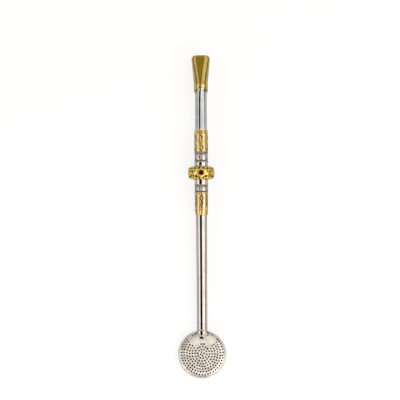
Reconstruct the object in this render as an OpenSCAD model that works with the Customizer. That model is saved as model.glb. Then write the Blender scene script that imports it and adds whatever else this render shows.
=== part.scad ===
// Bombilla, the metal straw that mate is drunk through, lying on its back.
// +Y runs along the stem to the mouthpiece and +Z is the front of the strainer.
// The origin is the centre of the strainer's flat back. Millimetres.

/* [Strainer] */
// Diameter of the strainer over its rim band
strainer_d = 29.6; // [27:0.2:36]
// Thickness of the strainer between its two flat plates
strainer_thick = 7.4; // [7:0.1:9]
// Wall of the two strainer plates
plate_wall = 0.6; // [0.4:0.05:0.9]
// Width of the rounded edge outside each plate's flat
edge_width = 3.8; // [3:0.1:5]
// Radius of the rounded edge, seen in section
edge_r = 4.5; // [4:0.1:6]
// Wall of the rim band that closes the seam of the plates
rim_wall = 0.5; // [0.3:0.05:0.8]
// Height of the rim band
rim_height = 1.6; // [1:0.1:2.4]

/* [Perforation] */
// Diameter of each strainer hole
hole_d = 1.1; // [0.5:0.05:1.3]
// Number of hole rings round their centre
hole_rings = 8; // [4:1:8]
// How far the centre of the rings lies from the strainer's centre towards the neck
rings_shift = 0.5; // [0:0.1:0.8]
// Radius of the innermost ring
first_ring_r = 1.15; // [1.1:0.05:2]
// Radial step from ring to ring
ring_step = 1.66; // [1.5:0.01:1.7]
// Holes in the innermost ring
first_ring_holes = 4; // [3:1:5]
// Holes that each ring has more than the one inside it
holes_added = 6; // [5:1:7]
// Half angle of the plain sector below the neck
plain_half_angle = 44; // [30:1:50]
// Half angle of the small fan of holes inside the plain sector
fan_half_angle = 18; // [10:1:24]

/* [Neck] */
// Diameter of the bush that the strainer screws on by
bush_d = 7.2; // [6.8:0.1:8]
// How far the bush stands out of the rim band
bush_proud = 0.1; // [0.1:0.1:2]
// How far the bush's full diameter reaches in from the rim band
bush_grip = 3; // [2:0.1:3.4]
// Wall of the bush's inner end
bush_wall = 0.6; // [0.4:0.05:0.8]
// Outer diameter of the screw thread
thread_d = 4.5; // [4:0.1:4.8]
// Pitch of the screw thread
thread_pitch = 0.75; // [0.5:0.05:0.8]
// Turns of thread in the bush when the strainer is screwed home
thread_turns = 6; // [5:0.5:7]
// Bore through the threaded stub
stub_bore_d = 3.2; // [2.4:0.1:3.4]
// Length of the stub's plug inside the tube
plug_length = 6; // [4:0.5:10]
// Thickness of the sealing washer
washer_thick = 0.4; // [0.3:0.05:1]

/* [Tubes] */
// Bore of both tubes
tube_bore_d = 5.2; // [5:0.1:5.6]
// Outer diameter of the lower tube at the strainer
lower_tube_d = 6.4; // [6.1:0.05:6.6]
// Outer diameter of the lower tube under its sleeve
lower_tube_top_d = 6.8; // [6.6:0.05:6.9]
// Length of the lower tube that shows below its sleeve
lower_tube_show = 70.5; // [55:0.5:110]
// Length of the straight stretch above the washer, before the taper
taper_start = 27; // [10:1:35]
// Length of the taper
taper_length = 40; // [10:1:42]
// Outer diameter of the upper tube
upper_tube_d = 7.15; // [6.7:0.05:7.4]
// Length of the upper tube that shows between its sleeve and the mouthpiece
upper_tube_show = 22; // [12:0.5:60]

/* [Sleeves and bands] */
// Diameter of the upper chased sleeve
upper_sleeve_d = 8.5; // [8:0.1:9.4]
// Length of the upper chased sleeve
upper_sleeve_length = 13.9; // [8:0.1:20]
// Diameter of the lower chased sleeve
lower_sleeve_d = 8.1; // [7.7:0.1:9]
// Length of the lower chased sleeve
lower_sleeve_length = 13.9; // [8:0.1:20]
// Length of the narrowed nose at the outer end of a sleeve
sleeve_nose = 3; // [1:0.1:5]
// Loss of radius at the tip of a sleeve's nose
sleeve_nose_drop = 0.35; // [0.1:0.05:0.5]
// Diameter of both engraved bands
band_d = 8.2; // [7.8:0.1:9]
// Length of the upper engraved band between its beads
upper_band_length = 4.8; // [3:0.1:8]
// Length of the lower engraved band between its beads
lower_band_length = 3.6; // [2.5:0.1:8]
// Thickness of each bead ring
bead_thick = 0.7; // [0.4:0.05:1]
// How far a bead ring stands out past its band
bead_proud = 0.25; // [0.05:0.05:0.4]
// Diameter of both polished collars
collar_d = 8.3; // [7.8:0.1:9]
// Length of the upper polished collar
upper_collar_length = 2.8; // [1.5:0.1:5]
// Length of the lower polished collar
lower_collar_length = 3.2; // [1.5:0.1:5]
// Rounding of the collars' edges
collar_round = 0.3; // [0.1:0.05:0.5]

/* [Ring and stone] */
// Diameter of the barrel ring
ring_d = 16.3; // [14:0.1:20]
// Height of the barrel ring along the stem
ring_height = 8.1; // [7:0.1:12]
// Rounding of the barrel ring's two outer edges
ring_round = 2.5; // [1.2:0.1:3]
// Wall of the two pressed halves of the ring
ring_wall = 0.7; // [0.4:0.05:1]
// Diameter of the bush inside the ring that joins the tubes
coupling_d = 9; // [8.2:0.1:10]
// Diameter of the stone
stone_d = 3.2; // [2:0.1:3.6]
// Height of the stone's girdle above its seat
girdle_height = 0.5; // [0.3:0.05:0.8]
// Height of the stone's crown
crown_height = 0.5; // [0.2:0.05:0.8]
// Share of the stone's width that its flat top takes
table_share = 0.5; // [0.3:0.05:0.7]
// Wall of the stone's setting
setting_wall = 0.4; // [0.25:0.05:0.6]
// How far the setting stands out of the ring
setting_proud = 0.45; // [0.2:0.05:0.8]

/* [Mouthpiece] */
// Diameter of the mouthpiece's socket on the tube
socket_d = 8.5; // [8.1:0.1:9.2]
// Length of the socket's straight stretch
socket_length = 6.2; // [5:0.1:12]
// Height of the arches cut in the socket's lower edge, front and back
arch_height = 3.6; // [2:0.1:4]
// Length of the flattened mouth above the socket
mouth_length = 17.5; // [13:0.1:24]
// Width of the mouth
mouth_width = 11.2; // [9:0.1:13]
// Thickness of the mouth, front to back
mouth_thick = 4; // [3.4:0.1:5]
// Part of the mouth's length over which it widens
flare_length = 14.5; // [8:0.1:15]
// Width at the lip of the flat facets, front and back, that run to a point at the socket
facet_width = 4.4; // [2:0.1:6]
// Loss of half width over the lip's round corners
lip_corner = 1.5; // [0.6:0.1:2]
// Height of the lip's rounding
lip_height = 1.8; // [0.8:0.1:2.4]
// Loss of half thickness over the lip's rounding
lip_bevel = 0.7; // [0.3:0.1:0.8]
// Width of the slot that is drunk from
slot_width = 7.4; // [5:0.1:7.6]
// Thickness of the slot, front to back
slot_thick = 1.8; // [1.2:0.1:1.9]

/* [Clearances] */
// Soldering gap between pieces that are joined for good
solder_gap = 0.02; // [0.01:0.01:0.05]
// Running gap of the screw and of the washer round it
thread_gap = 0.05; // [0.03:0.01:0.08]

/* [Hidden] */
$fn = 96;

// Reach of a cutter past the face that it opens
cut_past = 1;
// Least straight stretch between two rounded edges
least_straight = 0.001;
gold = "goldenrod";
silver = "silver";

// Strainer, about its own centre
axis_z = strainer_thick / 2;
rim_r = strainer_d / 2;
plate_r = rim_r - rim_wall - solder_gap;
flat_r = rim_r - edge_width;
// Rings that are drilled all the way round, and rings that the fan of holes reaches
whole_rings = 3;
fan_rings = 4;

// Places along the stem, from the centre of the strainer
bush_end = rim_r + bush_proud;
bush_step = rim_r - bush_grip;
thread_length = thread_pitch * thread_turns;
stub_tip = bush_end - thread_length;
// Length of the bush past the tip of the stub
tip_room = 1.2;
bush_start = min(stub_tip, bush_step) - tip_room;
tube_start = bush_end + washer_thick;
lower_sleeve_start = tube_start + lower_tube_show;
lower_band_start = lower_sleeve_start + lower_sleeve_length;
lower_collar_start = lower_band_start + lower_band_length + 2 * bead_thick;
ring_start = lower_collar_start + lower_collar_length;
ring_middle = ring_start + ring_height / 2;
upper_collar_start = ring_start + ring_height;
upper_band_start = upper_collar_start + upper_collar_length;
upper_sleeve_start = upper_band_start + upper_band_length + 2 * bead_thick;
socket_start = upper_sleeve_start + upper_sleeve_length + upper_tube_show;
mouth_start = socket_start + socket_length;
// Depth of the mouth's foot inside the top of the socket, where the upper tube stops
mouth_foot = 0.3;
upper_tube_end = mouth_start - mouth_foot;

// Radii
thread_r = thread_d / 2;
bush_bore_r = thread_r + thread_gap;
lower_fit_r = lower_tube_top_d / 2 + solder_gap;
upper_fit_r = upper_tube_d / 2 + solder_gap;
band_r = band_d / 2;
bead_r = band_r + bead_proud;
coupling_r = coupling_d / 2;
ring_r = ring_d / 2;
stone_r = stone_d / 2;
setting_r = stone_r + solder_gap + setting_wall;
setting_top = ring_r + setting_proud;
stone_seat = setting_top - girdle_height;
// Depth of the setting's floor under the stone
setting_floor = 0.7;

// Turns a piece made upright about Z onto the stem's axis, with its -Y side to the front
module on_stem() {
  translate([0, 0, axis_z]) rotate([-90, 0, 0]) children();
}

// Aims a piece made along +Z out of the front of the ring, at the ring's middle
module out_of_ring() {
  translate([0, 0, ring_middle]) rotate([90, 0, 0]) children();
}

// Ring of one radius, whose two outer edges are rounded
module round_edged_ring(bore_r, outer_r, length, round_r) {
  rotate_extrude() {
    translate([bore_r, 0]) square([outer_r - round_r - bore_r, length]);
    translate([bore_r, round_r])
      square([outer_r - bore_r, max(length - 2 * round_r, least_straight)]);
    for (height = [round_r, length - round_r])
      translate([outer_r - round_r, height]) intersection() {
        circle(round_r);
        translate([0, -round_r]) square([round_r, 2 * round_r]);
      }
  }
}

// Half of a strainer section, from the seam up, grown inward by a wall
module strainer_section(inset) {
  intersection() {
    square([plate_r - inset, axis_z - inset]);
    union() {
      square([flat_r, axis_z - inset]);
      translate([flat_r, axis_z - edge_r]) circle(edge_r - inset);
    }
  }
}

// Whether a hole of one ring is drilled, by its angle from the neck
function is_drilled(ring, angle) =
  let (turned = min(angle, 360 - angle))
  turned > plain_half_angle || ring < whole_rings || (ring < fan_rings && turned < fan_half_angle);

// Rings of holes, which start a share of a step round from the neck
module strainer_holes(start_share) {
  for (ring = [0 : hole_rings - 1]) {
    count = first_ring_holes + ring * holes_added;
    step = 360 / count;
    for (index = [0 : count - 1]) {
      angle = (start_share + index) * step;
      if (is_drilled(ring, angle))
        translate([0, rings_shift, 0]) rotate(90 - angle)
          translate([first_ring_r + ring * ring_step, 0, 0])
            cylinder(h = axis_z + cut_past, d = hole_d);
    }
  }
}

// Outline of the neck bush along the stem, grown by a gap
module bush_outline(gap) {
  rotate([-90, 0, 0]) {
    translate([0, 0, bush_step - gap])
      cylinder(h = bush_end - bush_step + gap, d = bush_d + 2 * gap);
    translate([0, 0, bush_start - gap])
      cylinder(h = bush_step - bush_start + gap, r = bush_bore_r + bush_wall + gap);
  }
}

// One pressed and drilled plate, with its seam on the XY plane
module strainer_plate(start_share) {
  difference() {
    rotate_extrude() difference() {
      strainer_section(0);
      strainer_section(plate_wall);
    }
    strainer_holes(start_share);
    bush_outline(solder_gap);
  }
}

module front_strainer() {
  color("gainsboro") translate([0, 0, axis_z]) strainer_plate(0);
}

// The back's holes lie between those of the front, so that leaves don't pass straight through
module back_strainer() {
  color("gainsboro") translate([0, 0, axis_z]) mirror([0, 0, 1]) strainer_plate(0.5);
}

module rim_band() {
  color("gainsboro") translate([0, 0, axis_z]) difference() {
    translate([0, 0, -rim_height / 2])
      round_edged_ring(plate_r + solder_gap, rim_r, rim_height, rim_wall / 2);
    bush_outline(solder_gap);
  }
}

module neck_bush() {
  color(silver) translate([0, 0, axis_z]) difference() {
    bush_outline(0);
    rotate([-90, 0, 0])
      translate([0, 0, bush_start - cut_past])
        cylinder(h = bush_end - bush_start + 2 * cut_past, r = bush_bore_r);
  }
}

module neck_washer() {
  color("dimgray") on_stem() translate([0, 0, bush_end]) difference() {
    cylinder(h = washer_thick, d = lower_tube_d);
    translate([0, 0, -cut_past])
      cylinder(h = washer_thick + 2 * cut_past, r = bush_bore_r);
  }
}

module threaded_stub() {
  color("darkkhaki") on_stem() difference() {
    union() {
      translate([0, 0, stub_tip]) cylinder(h = tube_start - stub_tip, r = thread_r);
      translate([0, 0, tube_start]) cylinder(h = plug_length, d = tube_bore_d - 2 * solder_gap);
    }
    translate([0, 0, stub_tip - cut_past])
      cylinder(h = tube_start + plug_length - stub_tip + 2 * cut_past, d = stub_bore_d);
  }
}

module lower_tube() {
  taper_end = tube_start + taper_start + taper_length;
  color(silver) on_stem() rotate_extrude() polygon([
    [tube_bore_d / 2, tube_start],
    [lower_tube_d / 2, tube_start],
    [lower_tube_d / 2, tube_start + taper_start],
    [lower_tube_top_d / 2, taper_end],
    [lower_tube_top_d / 2, ring_middle],
    [tube_bore_d / 2, ring_middle]
  ]);
}

module upper_tube() {
  color(silver) on_stem() translate([0, 0, ring_middle]) difference() {
    cylinder(h = upper_tube_end - ring_middle, d = upper_tube_d);
    translate([0, 0, -cut_past])
      cylinder(h = upper_tube_end - ring_middle + 2 * cut_past, d = tube_bore_d);
  }
}

// Chased sleeve with its narrowed nose at the low end
module sleeve(bore_r, sleeve_r, length) {
  rotate_extrude() polygon([
    [bore_r, 0],
    [sleeve_r - sleeve_nose_drop, 0],
    [sleeve_r, sleeve_nose],
    [sleeve_r, length],
    [bore_r, length]
  ]);
}

module lower_sleeve() {
  color(gold) on_stem() translate([0, 0, lower_sleeve_start])
    sleeve(lower_fit_r, lower_sleeve_d / 2, lower_sleeve_length);
}

module upper_sleeve() {
  color(gold) on_stem() translate([0, 0, upper_sleeve_start + upper_sleeve_length])
    mirror([0, 0, 1]) sleeve(upper_fit_r, upper_sleeve_d / 2, upper_sleeve_length);
}

module bead(bore_r, start) {
  color(silver) on_stem() translate([0, 0, start])
    round_edged_ring(bore_r, bead_r, bead_thick, bead_thick / 2);
}

module lower_band_bottom_bead() {
  bead(lower_fit_r, lower_band_start);
}

module lower_band_top_bead() {
  bead(lower_fit_r, lower_collar_start - bead_thick);
}

module upper_band_bottom_bead() {
  bead(upper_fit_r, upper_band_start);
}

module upper_band_top_bead() {
  bead(upper_fit_r, upper_sleeve_start - bead_thick);
}

module plain_band(bore_r, start, length) {
  color("darkgray") on_stem() translate([0, 0, start]) difference() {
    cylinder(h = length, r = band_r);
    translate([0, 0, -cut_past]) cylinder(h = length + 2 * cut_past, r = bore_r);
  }
}

module lower_band() {
  plain_band(lower_fit_r, lower_band_start + bead_thick, lower_band_length);
}

module upper_band() {
  plain_band(upper_fit_r, upper_band_start + bead_thick, upper_band_length);
}

module collar(bore_r, start, length) {
  color(silver) on_stem() translate([0, 0, start])
    round_edged_ring(bore_r, collar_d / 2, length, collar_round);
}

module lower_collar() {
  collar(lower_fit_r, lower_collar_start, lower_collar_length);
}

module upper_collar() {
  collar(upper_fit_r, upper_collar_start, upper_collar_length);
}

module tube_coupling() {
  color("darkkhaki") on_stem() difference() {
    translate([0, 0, ring_start]) cylinder(h = ring_height, r = coupling_r);
    translate([0, 0, ring_start - cut_past])
      cylinder(h = ring_height / 2 + cut_past, r = lower_fit_r);
    translate([0, 0, ring_middle])
      cylinder(h = ring_height / 2 + cut_past, r = upper_fit_r);
  }
}

// Section of the barrel ring's upper half, drawn in by a wall
module ring_section(inset) {
  round_r = ring_round - inset;
  high = ring_height / 2 - inset;
  square([ring_r - inset - round_r, high]);
  square([ring_r - inset, high - round_r]);
  translate([ring_r - inset - round_r, high - round_r]) intersection() {
    circle(round_r);
    translate([0, -max(high - round_r, 0)]) square(2 * ring_height);
  }
}

// Upper half of the hollow barrel ring, with its half of the setting's hole
module ring_half() {
  difference() {
    rotate_extrude() difference() {
      ring_section(0);
      ring_section(ring_wall);
      square([coupling_r + solder_gap, ring_height]);
    }
    rotate([90, 0, 0])
      translate([0, 0, coupling_r + solder_gap])
        cylinder(h = ring_r, r = setting_r + solder_gap);
  }
}

module ring_upper_half() {
  color(gold) on_stem() translate([0, 0, ring_middle]) ring_half();
}

module ring_lower_half() {
  color(gold) on_stem() translate([0, 0, ring_middle]) mirror([0, 0, 1]) ring_half();
}

module stone_setting() {
  color(gold) on_stem() out_of_ring() difference() {
    translate([0, 0, stone_seat - setting_floor])
      cylinder(h = setting_top - stone_seat + setting_floor, r = setting_r);
    translate([0, 0, stone_seat])
      cylinder(h = girdle_height + cut_past, r = stone_r + solder_gap);
  }
}

module stone() {
  color("darkred") on_stem() out_of_ring() translate([0, 0, stone_seat]) {
    cylinder(h = girdle_height, r = stone_r);
    translate([0, 0, girdle_height])
      cylinder(h = crown_height, r1 = stone_r, r2 = stone_r * table_share);
  }
}

// Mouth: rings of points, up the outside, over the lip and down the inside
mouth_sides = 48;
mouth_levels = 10;
lip_levels = 5;
// Overlap of the mouth's foot with the socket round it
foot_inset = 0.03;
// Ledge inside the socket that the upper tube stops against
tube_ledge = 0.5;
mouth_end = mouth_start + mouth_length;
lip_start = mouth_end - lip_height;

function blend(low, high, share) = low + (high - low) * min(max(share, 0), 1);

// Oval whose front and back are flat over a share of its width
function oval(half_w, half_t, flat_share, height) =
  [for (side = [0 : mouth_sides - 1])
    let (angle = 360 * (side + 0.5) / mouth_sides)
    [half_w * (flat_share * sign(cos(angle)) + (1 - flat_share) * cos(angle)),
     half_t * sin(angle),
     height]];

function flat_share(share) = blend(0, facet_width / mouth_width, share);

function outside_oval(height, corner, bevel) =
  let (foot_r = socket_d / 2 - foot_inset, share = (height - mouth_start) / mouth_length)
  oval(blend(foot_r, mouth_width / 2, (height - mouth_start) / flare_length) - corner,
       blend(foot_r, mouth_thick / 2, share) - bevel,
       flat_share(share),
       height);

function inside_oval(height) =
  let (foot_r = upper_tube_d / 2 - tube_ledge,
       share = (height - upper_tube_end) / (mouth_end - upper_tube_end))
  oval(blend(foot_r, slot_width / 2, share),
       blend(foot_r, slot_thick / 2, share),
       flat_share(share),
       height);

module mouth() {
  flank = [for (level = [0 : mouth_levels])
    outside_oval(blend(mouth_start, lip_start, level / mouth_levels), 0, 0)];
  lip = [for (level = [1 : lip_levels])
    let (angle = 90 * level / lip_levels)
    outside_oval(lip_start + lip_height * sin(angle),
                 lip_corner * (1 - cos(angle)),
                 lip_bevel * (1 - cos(angle)))];
  hollow = [for (level = [mouth_levels : -1 : 0])
    inside_oval(blend(upper_tube_end, mouth_end, level / mouth_levels))];
  rings = concat([outside_oval(upper_tube_end, 0, 0)], flank, lip, hollow);
  last = len(rings);
  faces = [for (ring = [0 : last - 1], side = [0 : mouth_sides - 1])
    let (next_ring = (ring + 1) % last,
         next_side = (side + 1) % mouth_sides,
         here = ring * mouth_sides + side,
         beside = ring * mouth_sides + next_side,
         above = next_ring * mouth_sides + side,
         across = next_ring * mouth_sides + next_side)
    each [[here, above, beside], [beside, above, across]]];
  polyhedron([for (ring = rings) each ring], faces);
}

// Socket with an arch cut in its lower edge at the front and at the back
module socket() {
  arch_r = socket_d / 2;
  difference() {
    translate([0, 0, socket_start]) cylinder(h = socket_length, d = socket_d);
    translate([0, 0, socket_start - cut_past])
      cylinder(h = socket_length + 2 * cut_past, r = upper_fit_r);
    translate([0, 0, socket_start + arch_height - arch_r])
      rotate([90, 0, 0]) cylinder(h = 2 * socket_d, r = arch_r, center = true);
  }
}

module mouthpiece() {
  color(gold) on_stem() {
    mouth();
    socket();
  }
}

mouthpiece();
upper_tube();
upper_sleeve();
upper_band_top_bead();
upper_band();
upper_band_bottom_bead();
upper_collar();
ring_upper_half();
ring_lower_half();
tube_coupling();
stone_setting();
stone();
lower_collar();
lower_band_top_bead();
lower_band();
lower_band_bottom_bead();
lower_sleeve();
lower_tube();
threaded_stub();
neck_washer();
neck_bush();
front_strainer();
back_strainer();
rim_band();
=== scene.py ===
import math
import random

import bmesh
import bpy
import numpy as np
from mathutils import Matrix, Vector


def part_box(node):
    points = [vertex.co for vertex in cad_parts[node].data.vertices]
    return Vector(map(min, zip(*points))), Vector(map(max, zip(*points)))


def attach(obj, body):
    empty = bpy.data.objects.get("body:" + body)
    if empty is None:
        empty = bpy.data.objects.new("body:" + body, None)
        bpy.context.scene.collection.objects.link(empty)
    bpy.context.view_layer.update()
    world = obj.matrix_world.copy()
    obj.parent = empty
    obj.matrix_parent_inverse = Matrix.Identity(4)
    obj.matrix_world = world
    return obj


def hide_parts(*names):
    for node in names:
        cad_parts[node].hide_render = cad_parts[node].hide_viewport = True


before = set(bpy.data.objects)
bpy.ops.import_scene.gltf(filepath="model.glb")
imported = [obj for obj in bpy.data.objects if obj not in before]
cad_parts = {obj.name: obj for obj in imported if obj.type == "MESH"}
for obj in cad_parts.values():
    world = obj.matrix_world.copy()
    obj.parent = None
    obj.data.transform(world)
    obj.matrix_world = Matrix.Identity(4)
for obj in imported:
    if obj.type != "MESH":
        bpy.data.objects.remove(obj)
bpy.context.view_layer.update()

# Lengths are in millimetres. A piece of the stem is made upright, with its low end down and its
# front on the -Y side, and is then laid on the stem.
MM = 0.001


def stem_span(node):
    low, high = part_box(node)
    return low.y / MM, high.y / MM


def stem_radius(node):
    low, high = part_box(node)
    return (high.x - low.x) / 2 / MM


def front_span(node):
    low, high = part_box(node)
    return low.z / MM, high.z / MM


STEM_Z = sum(front_span("upper_tube")) / 2
SOLDER_GAP = 0.02
UPPER_FIT = stem_radius("upper_tube") + SOLDER_GAP
LOWER_FIT = stem_radius("lower_tube") + SOLDER_GAP
RING_MIDDLE = stem_span("lower_tube")[1]

# Vines round each sleeve, and ovals round each band
FOLDS = 6
FOLD = 2 * math.pi / FOLDS


# Modelling


def pick(piece):
    bpy.ops.object.select_all(action="DESELECT")
    piece.select_set(True)
    bpy.context.view_layer.objects.active = piece


def edit(piece):
    pick(piece)
    bpy.ops.object.mode_set(mode="EDIT")
    bpy.ops.mesh.select_all(action="SELECT")


def end_edit():
    bpy.ops.object.mode_set(mode="OBJECT")


def close_up():
    bpy.ops.mesh.select_all(action="SELECT")
    bpy.ops.mesh.remove_doubles(threshold=1e-7)
    bpy.ops.mesh.normals_make_consistent(inside=False)


def apply_modifier(piece, kind, **settings):
    pick(piece)
    modifier = piece.modifiers.new(kind.lower(), kind)
    for name, value in settings.items():
        setattr(modifier, name, value)
    bpy.ops.object.modifier_apply(modifier=modifier.name)


def apply_place(piece, location, rotation=(0, 0, 0)):
    pick(piece)
    piece.rotation_euler = rotation
    piece.location = Vector(location) * MM
    bpy.ops.object.transform_apply(location=True, rotation=True, scale=True)


def lay_on_stem(piece):
    apply_place(piece, (0, 0, STEM_Z), (-math.pi / 2, 0, 0))


def smooth(piece, angle):
    pick(piece)
    bpy.ops.object.shade_smooth_by_angle(angle=math.radians(angle))


def bevel_edges(piece, width, angle, segments):
    apply_modifier(piece, "BEVEL", width=width * MM, segments=segments, limit_method="ANGLE",
                   angle_limit=math.radians(angle), use_clamp_overlap=True)


def start_circle(name, radius, height, sides):
    bpy.ops.object.select_all(action="DESELECT")
    bpy.ops.mesh.primitive_circle_add(vertices=sides, radius=radius * MM, location=(0, 0, height * MM),
                                      rotation=(0, 0, math.pi / sides))
    piece = bpy.context.object
    piece.name = name
    bpy.ops.object.transform_apply(location=True, rotation=True, scale=True)
    edit(piece)
    return piece


def raise_circle(widen, climb):
    """Extrudes the picked circle, and scales and lifts what comes out."""
    bpy.ops.mesh.extrude_edges_move()
    bpy.ops.transform.resize(value=(widen, widen, 1), center_override=(0, 0, 0))
    bpy.ops.transform.translate(value=(0, 0, climb * MM))


def turned(name, outline, sides, closed=True):
    """A circle is extruded from point to point of an outline of (radius, height)."""
    piece = start_circle(name, *outline[0], sides)
    stops = outline + outline[:1] if closed else outline
    for (radius, height), (next_radius, next_height) in zip(stops, stops[1:]):
        raise_circle(next_radius / radius, next_height - height)
    close_up()
    end_edit()
    return piece


def rows(start, end, count):
    """Points of a straight stretch of an outline, without its end."""
    return [tuple(a + (b - a) * step / count for a, b in zip(start, end)) for step in range(count)]


def arc(centre, radius, start, end, count):
    """Points of a round stretch of an outline, between two angles in degrees."""
    turns = [math.radians(start + (end - start) * step / count) for step in range(count + 1)]
    return [(centre[0] + radius * math.cos(turn), centre[1] + radius * math.sin(turn)) for turn in turns]


def rod(radius, length, location, rotation=(0, 0, 0), sides=64):
    bpy.ops.object.select_all(action="DESELECT")
    bpy.ops.mesh.primitive_cylinder_add(vertices=sides, radius=radius * MM, depth=length * MM,
                                        rotation=(0, 0, math.pi / sides))
    piece = bpy.context.object
    bpy.ops.object.transform_apply(location=True, rotation=True, scale=True)
    apply_place(piece, location, rotation)
    return piece


def cut(piece, cutter, operation="DIFFERENCE"):
    apply_modifier(piece, "BOOLEAN", object=cutter, operation=operation, solver="MANIFOLD")
    bpy.data.objects.remove(cutter)


# Chasing, drawn on a wall in mm across and up


def flowing(points):
    """A smooth line through a few points."""
    steps = 8
    padded = [points[0], *points, points[-1]]
    line = []
    for before, start, end, after in zip(padded, padded[1:], padded[2:], padded[3:]):
        for step in range(steps):
            t = step / steps
            line.append(tuple(
                b + t * (c - a + t * (2 * a - 5 * b + 4 * c - d + t * (3 * b - a - 3 * c + d))) / 2
                for a, b, c, d in zip(before, start, end, after)))
    return [*line, points[-1]]


def near_line(across, up, points, width):
    """1 on the line through the points, and nothing well past its width."""
    gap = np.full(across.shape, np.inf)
    for (x0, y0), (x1, y1) in zip(points, points[1:]):
        dx, dy = x1 - x0, y1 - y0
        share = np.clip(((across - x0) * dx + (up - y0) * dy) / (dx * dx + dy * dy + 1e-9), 0, 1)
        gap = np.minimum(gap, np.hypot(across - x0 - share * dx, up - y0 - share * dy))
    return np.exp(-(gap / width) ** 2)


def near_spot(across, up, place, size):
    return np.exp(-((across - place[0]) ** 2 + (up - place[1]) ** 2) / size ** 2)


def near_level(up, level, width):
    return np.exp(-((up - level) / width) ** 2)


def off_ends(up, length):
    """0 at both ends of a wall, and 1 a little way in."""
    run_in = 0.25
    return np.clip(np.minimum(up, length - up) / run_in, 0, 1)


def leaf(across, up, root, lean, length, width):
    """Height from 0 to 1 of a pointed leaf with a vein, lying out from its root at a lean in degrees."""
    fullness, thinnest = 0.7, 0.001
    vein_depth, vein_width = 0.45, 0.2 * width
    turn = math.radians(lean)
    out = (across - root[0]) * math.cos(turn) + (up - root[1]) * math.sin(turn)
    side = (up - root[1]) * math.cos(turn) - (across - root[0]) * math.sin(turn)
    share = np.clip(out / length, 0, 1)
    half = width * np.sin(math.pi * share ** fullness) + thinnest
    body = np.sqrt(np.clip(1 - (side / half) ** 2, 0, 1))
    vein = vein_depth * np.exp(-(side / vein_width) ** 2)
    return np.where((out > 0) & (out < length), body * (1 - vein), 0)


def fold(angle, count=FOLDS):
    """Angle from the nearest of several even places round the stem, one of them at the front."""
    step = 2 * math.pi / count
    return (angle + step / 2) % step - step / 2


def chase(piece, on_wall, drawing):
    """Sinks the wall of an upright piece by the depth drawn at each angle and height.
    The drawing's second value, from 0 to 1, stays on the mesh for the painted shade, and on silver the
    patina, that the finish puts in what is sunk."""
    faintest = 0.001
    points = np.empty(3 * len(piece.data.vertices))
    piece.data.vertices.foreach_get("co", points)
    x, y, z = points.reshape(-1, 3).T / MM
    walled = on_wall(np.hypot(x, y), z)
    depth, patina_and_painted_shade = (np.where(walled, drawn, 0) for drawn in drawing(np.arctan2(x, -y), z))
    deepest = depth.max()
    share = np.clip(depth / deepest, 0, 1)
    group = piece.vertex_groups.new(name="chased")
    for index in np.flatnonzero(share > faintest):
        group.add([int(index)], float(share[index]), "REPLACE")
    # How much painted shade, with patina on the silver, each point of the mesh gets
    recess = piece.data.attributes.new("recess", "FLOAT", "POINT")
    recess.data.foreach_set("value", np.clip(patina_and_painted_shade, 0, 1).astype(np.float32))
    apply_modifier(piece, "DISPLACE", direction="NORMAL", mid_level=0, strength=-deepest * MM,
                   vertex_group="chased")


# Mouthpiece


def part_halves(piece, distance):
    """Moves the picked vertices of the right half right, and those of the left half left."""
    mesh = bmesh.from_edit_mesh(piece.data)
    for vertex in mesh.verts:
        if vertex.select:
            vertex.co.x += distance * MM * math.copysign(1, vertex.co.x)
    bmesh.update_edit_mesh(piece.data)


LIP_HEIGHT = 2.2


def bow_lip(piece, top, width):
    """Lets the lip fall a little from its middle to its corners."""
    sag = 0.35
    edit(piece)
    mesh = bmesh.from_edit_mesh(piece.data)
    for vertex in mesh.verts:
        share = max(1 - (top - vertex.co.z / MM) / LIP_HEIGHT, 0)
        vertex.co.z -= sag * MM * share * (vertex.co.x / MM / width) ** 2
    bmesh.update_edit_mesh(piece.data)
    end_edit()


def mouth_rings(foot, top, socket, width):
    """Ovals up the outside, over the lip and down the inside, each with its
    half width, half depth, half of its flat front, and height."""
    socket_length, flare_length = 6.2, 14.5
    mouth = foot + socket_length
    depth, flat_share = 2.0, 0.39
    lip_corner, lip_bevel = 1.8, 0.7
    lip = top - LIP_HEIGHT
    slot_width, slot_depth, slot_land = 3.5, 0.9, 0.4
    tube_ledge, ledge_drop = 3.0, 0.3
    tube_stop = mouth - ledge_drop

    def outside(height, loss):
        share = (height - mouth) / (top - mouth)
        flare = min(1, (height - mouth) / flare_length)
        half_width = socket + (width - socket) * flare - lip_corner * loss
        half_depth = socket + (depth - socket) * share - lip_bevel * loss
        return half_width, half_depth, half_width * flat_share * share, height

    rings = [(socket, socket, 0, height) for _, height in rows((0, foot), (0, mouth), 8)]
    rings += [outside(height, 0) for _, height in rows((0, mouth), (0, lip), 16)]
    rings += [outside(lip + LIP_HEIGHT * climb, 1 - inward) for inward, climb in arc((0, 0), 1, 0, 90, 10)]
    rings.append((slot_width, slot_depth, slot_width * flat_share, top))
    rings.append((slot_width, slot_depth, slot_width * flat_share, top - slot_land))
    rings.append((tube_ledge, tube_ledge, 0, tube_stop))
    rings.append((UPPER_FIT, UPPER_FIT, 0, tube_stop))
    rings.append((UPPER_FIT, UPPER_FIT, 0, foot))
    return rings


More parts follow.
